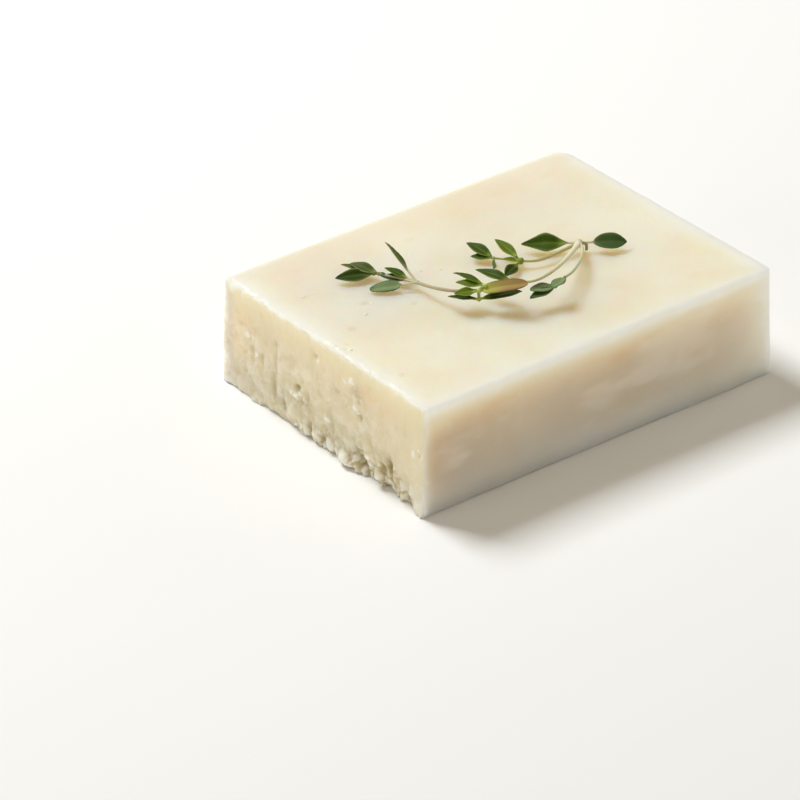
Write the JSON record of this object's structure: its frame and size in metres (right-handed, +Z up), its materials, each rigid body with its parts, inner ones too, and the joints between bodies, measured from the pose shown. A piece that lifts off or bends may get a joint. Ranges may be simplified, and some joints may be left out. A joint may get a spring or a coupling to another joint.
{
  "type": "tulum cheese",
  "caption": "Cut block of pressed crumbly white cheese with one ragged cut end, flat on its underside, and a sprig of thyme lying on its top.",
  "frame": {"origin": "centre of the block's footprint, on the surface it stands on", "axes": "+X along the long side, away from the ragged cut end; +Y along the short side, away from the smooth long side that the camera sees; +Z up"},
  "size_m": [0.1034, 0.0771, 0.0356],
  "materials": {
    "cheese": "real material is creamy white pressed cheese: soft satin, slightly translucent, crumbly on the cut end",
    "thyme": "real material is fresh thyme: matt green leaves with paler undersides on thin grey-brown stems"
  },
  "bodies": {
    "root": {"cheese_block": "cheese", "thyme_sprig": "thyme"}
  },
  "joints": []
}
